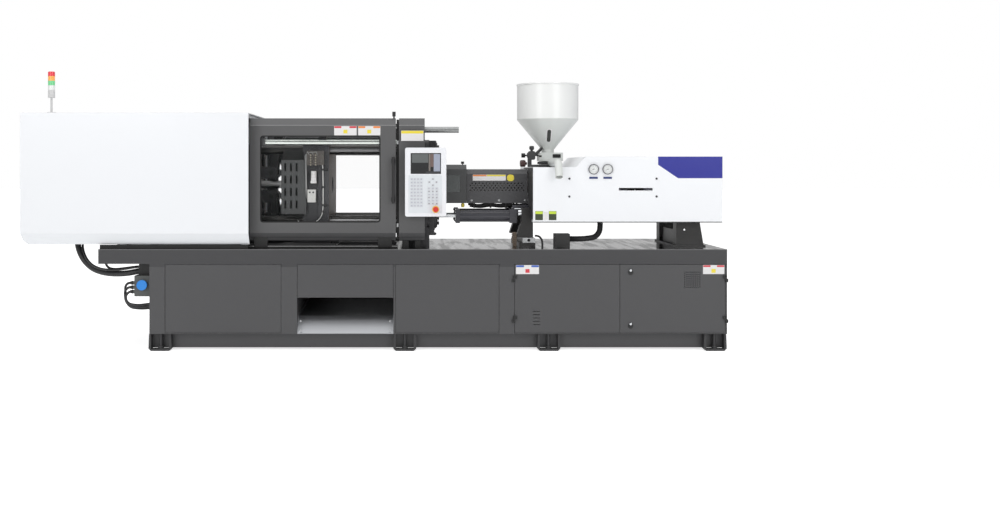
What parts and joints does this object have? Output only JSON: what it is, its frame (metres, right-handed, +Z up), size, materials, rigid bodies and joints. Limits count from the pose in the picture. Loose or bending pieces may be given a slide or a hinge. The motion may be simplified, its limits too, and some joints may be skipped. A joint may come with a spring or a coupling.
{
  "type": "injection moulding machine",
  "caption": "Horizontal toggle-clamp injection moulding machine with sliding guards, swivelling control panel, hopper, and an injection unit that slides on its bed.",
  "frame": {"origin": "on the floor, under the middle of the machine", "axes": "+X from the clamp to the injection end, +Y from the operator's side to the back, +Z up"},
  "size_m": [5.096, 1.2, 2.035],
  "materials": {
    "grey_paint": "satin dark grey",
    "gate_paint": "satin dark grey",
    "tray_steel": "bare sheet",
    "white_paint": "satin white",
    "polished_steel": "ground",
    "black_paint": "semi-matt black",
    "chrome": "hard chrome",
    "lamp_plastic": "light grey",
    "lamp_lens": "coloured clear",
    "black_plastic": "matt",
    "zinc_plate": "zinc plated",
    "motor_paint": "blue grey",
    "hose_rubber": "matt black",
    "window_plastic": "clear sheet",
    "machined_steel": "machined",
    "platen_iron": "machined and painted",
    "guard_paint": "dark grey",
    "fitting_brass": "plated",
    "panel_paint": "light grey",
    "key_plastic": "light grey",
    "stop_red": "red",
    "sheet_steel": "light grey",
    "hopper_paint": "gloss white"
  },
  "bodies": {
    "machine": {"bed_frame": "grey_paint", "bed_panels": "grey_paint", "chute_tray": "tray_steel", "levelling_feet": "grey_paint", "clamp_cover": "white_paint", "gate_rails": "polished_steel", "stationary_platen": "black_paint", "tie_bars": "chrome", "tie_bar_nuts": "black_paint", "side_covers": "gate_paint", "lamp_post": "lamp_plastic", "lamp_lenses": "lamp_lens", "front_support": "black_paint", "rear_support": "black_paint", "carriage_guides": "polished_steel", "sled_rods": "chrome", "junction_boxes": "black_plastic", "electrical_plate": "zinc_plate", "pump_motor": "motor_paint", "left_hoses": "hose_rubber", "conduit_hose": "hose_rubber"},
    "front_gate": {"front_gate": "gate_paint", "front_gate_window": "window_plastic", "front_gate_handle": "black_plastic"},
    "rear_gate": {"rear_gate": "gate_paint", "rear_gate_window": "window_plastic"},
    "rear_platen": {"rear_platen": "black_paint", "clamp_cylinder": "motor_paint", "mould_height_nuts": "machined_steel"},
    "rear_link_upper": {"rear_link_upper": "machined_steel"},
    "rear_link_lower": {"rear_link_lower": "machined_steel"},
    "front_link_upper": {"front_link_upper": "machined_steel"},
    "front_link_lower": {"front_link_lower": "machined_steel"},
    "crosshead": {"crosshead": "machined_steel"},
    "drive_link_upper": {"drive_link_upper": "machined_steel"},
    "drive_link_lower": {"drive_link_lower": "machined_steel"},
    "moving_platen": {"moving_platen": "platen_iron", "platen_guard": "guard_paint", "service_manifold": "fitting_brass", "safety_bar": "polished_steel"},
    "ejector": {"ejector": "machined_steel"},
    "left_door": {"left_electrical_door": "grey_paint"},
    "right_door": {"right_electrical_door": "grey_paint"},
    "lock_upper": {"door_lock_upper": "chrome"},
    "lock_lower": {"door_lock_lower": "chrome"},
    "panel": {"control_panel": "panel_paint", "panel_keys": "key_plastic"},
    "stop_button": {"stop_button": "stop_red"},
    "purge_guard": {"purge_guard": "sheet_steel"},
    "carriage": {"carriage": "black_paint", "barrel": "machined_steel", "heater_bands": "sheet_steel", "barrel_cover": "guard_paint", "injection_cover": "white_paint", "pressure_gauges": "chrome", "hopper": "hopper_paint", "sled_cylinders": "guard_paint"},
    "shutter": {"hopper_shutter": "black_plastic"},
    "thrust": {"thrust_housing": "motor_paint"},
    "screw": {"screw": "machined_steel"}
  },
  "joints": [
    {"name": "front_gate_slide", "type": "slide", "parent": "machine", "child": "front_gate", "axis": [-1, 0, 0], "range_m": [0, 0.86]},
    {"name": "rear_gate_slide", "type": "slide", "parent": "machine", "child": "rear_gate", "axis": [-1, 0, 0], "range_m": [0, 0.86]},
    {"name": "mould_height_slide", "type": "slide", "parent": "machine", "child": "rear_platen", "axis": [-1, 0, 0], "range_m": [0, 0.3]},
    {"name": "clamp_slide", "type": "slide", "parent": "rear_platen", "child": "moving_platen", "axis": [1, 0, 0], "range_m": [0, 0.375]},
    {"name": "rear_link_upper_swing", "type": "hinge", "parent": "rear_platen", "child": "rear_link_upper", "pos_m": [-0.80519, 0, 1.285], "axis": [0, 1, 0], "range_deg": [0, 43.02]},
    {"name": "rear_link_lower_swing", "type": "hinge", "parent": "rear_platen", "child": "rear_link_lower", "pos_m": [-0.80519, 0, 1.105], "axis": [0, -1, 0], "range_deg": [0, 43.02]},
    {"name": "front_link_upper_swing", "type": "hinge", "parent": "rear_link_upper", "child": "front_link_upper", "pos_m": [-0.75309, 0, 1.58044], "axis": [0, -1, 0], "range_deg": [0, 86.04]},
    {"name": "front_link_lower_swing", "type": "hinge", "parent": "rear_link_lower", "child": "front_link_lower", "pos_m": [-0.75309, 0, 0.80956], "axis": [0, 1, 0], "range_deg": [0, 86.04]},
    {"name": "crosshead_slide", "type": "slide", "parent": "rear_platen", "child": "crosshead", "axis": [1, 0, 0], "range_m": [0, 0.2357]},
    {"name": "drive_link_upper_swing", "type": "hinge", "parent": "crosshead", "child": "drive_link_upper", "pos_m": [-0.6916, 0, 1.25], "axis": [0, -1, 0], "range_deg": [0, 31.88]},
    {"name": "drive_link_lower_swing", "type": "hinge", "parent": "crosshead", "child": "drive_link_lower", "pos_m": [-0.6916, 0, 1.14], "axis": [0, 1, 0], "range_deg": [0, 31.88]},
    {"name": "ejector_slide", "type": "slide", "parent": "moving_platen", "child": "ejector", "axis": [1, 0, 0], "range_m": [0, 0.06]},
    {"name": "left_door_swing", "type": "hinge", "parent": "machine", "child": "left_door", "pos_m": [1.007, -0.5825, 0.4], "axis": [0, 0, -1], "range_deg": [0, 110]},
    {"name": "right_door_swing", "type": "hinge", "parent": "machine", "child": "right_door", "pos_m": [2.534, -0.5825, 0.4], "axis": [0, 0, 1], "range_deg": [0, 110]},
    {"name": "lock_upper_turn", "type": "hinge", "parent": "right_door", "child": "lock_upper", "pos_m": [1.847, -0.575, 0.569], "axis": [0, 1, 0], "range_deg": [0, 90]},
    {"name": "lock_lower_turn", "type": "hinge", "parent": "right_door", "child": "lock_lower", "pos_m": [1.847, -0.575, 0.183], "axis": [0, 1, 0], "range_deg": [0, 90]},
    {"name": "panel_swing", "type": "hinge", "parent": "machine", "child": "panel", "pos_m": [0.235, -0.496, 0.971], "axis": [0, 0, -1], "range_deg": [0, 38]},
    {"name": "stop_press", "type": "slide", "parent": "panel", "child": "stop_button", "axis": [0, 1, 0], "range_m": [0, 0.006], "stiffness_N_per_m": 800, "springref_m": -0.004},
    {"name": "purge_guard_tilt", "type": "hinge", "parent": "machine", "child": "purge_guard", "pos_m": [0.5825, 0.184, 1.063], "axis": [-1, 0, 0], "range_deg": [0, 85]},
    {"name": "carriage_slide", "type": "slide", "parent": "machine", "child": "carriage", "axis": [1, 0, 0], "range_m": [-0.05, 0.2], "deforming": ["conduit_hose"]},
    {"name": "hopper_shutter_slide", "type": "slide", "parent": "carriage", "child": "shutter", "axis": [1, 0, 0], "range_m": [0, 0.07]},
    {"name": "injection_slide", "type": "slide", "parent": "carriage", "child": "thrust", "axis": [1, 0, 0], "range_m": [0, 0.18]},
    {"name": "screw_spin", "type": "hinge", "parent": "thrust", "child": "screw", "pos_m": [1.323, 0, 1.195], "axis": [1, 0, 0], "continuous": true}
  ],
  "couplings": [
    {"joint": "rear_link_upper_swing", "follows": "clamp_slide", "rad_per_m": 2.0013},
    {"joint": "rear_link_lower_swing", "follows": "clamp_slide", "rad_per_m": 2.0013},
    {"joint": "front_link_upper_swing", "follows": "clamp_slide", "rad_per_m": 4.0026},
    {"joint": "front_link_lower_swing", "follows": "clamp_slide", "rad_per_m": 4.0026},
    {"joint": "crosshead_slide", "follows": "clamp_slide", "ratio": 0.62821},
    {"joint": "drive_link_upper_swing", "follows": "clamp_slide", "rad_per_m": 1.4832},
    {"joint": "drive_link_lower_swing", "follows": "clamp_slide", "rad_per_m": 1.4832}
  ]
}
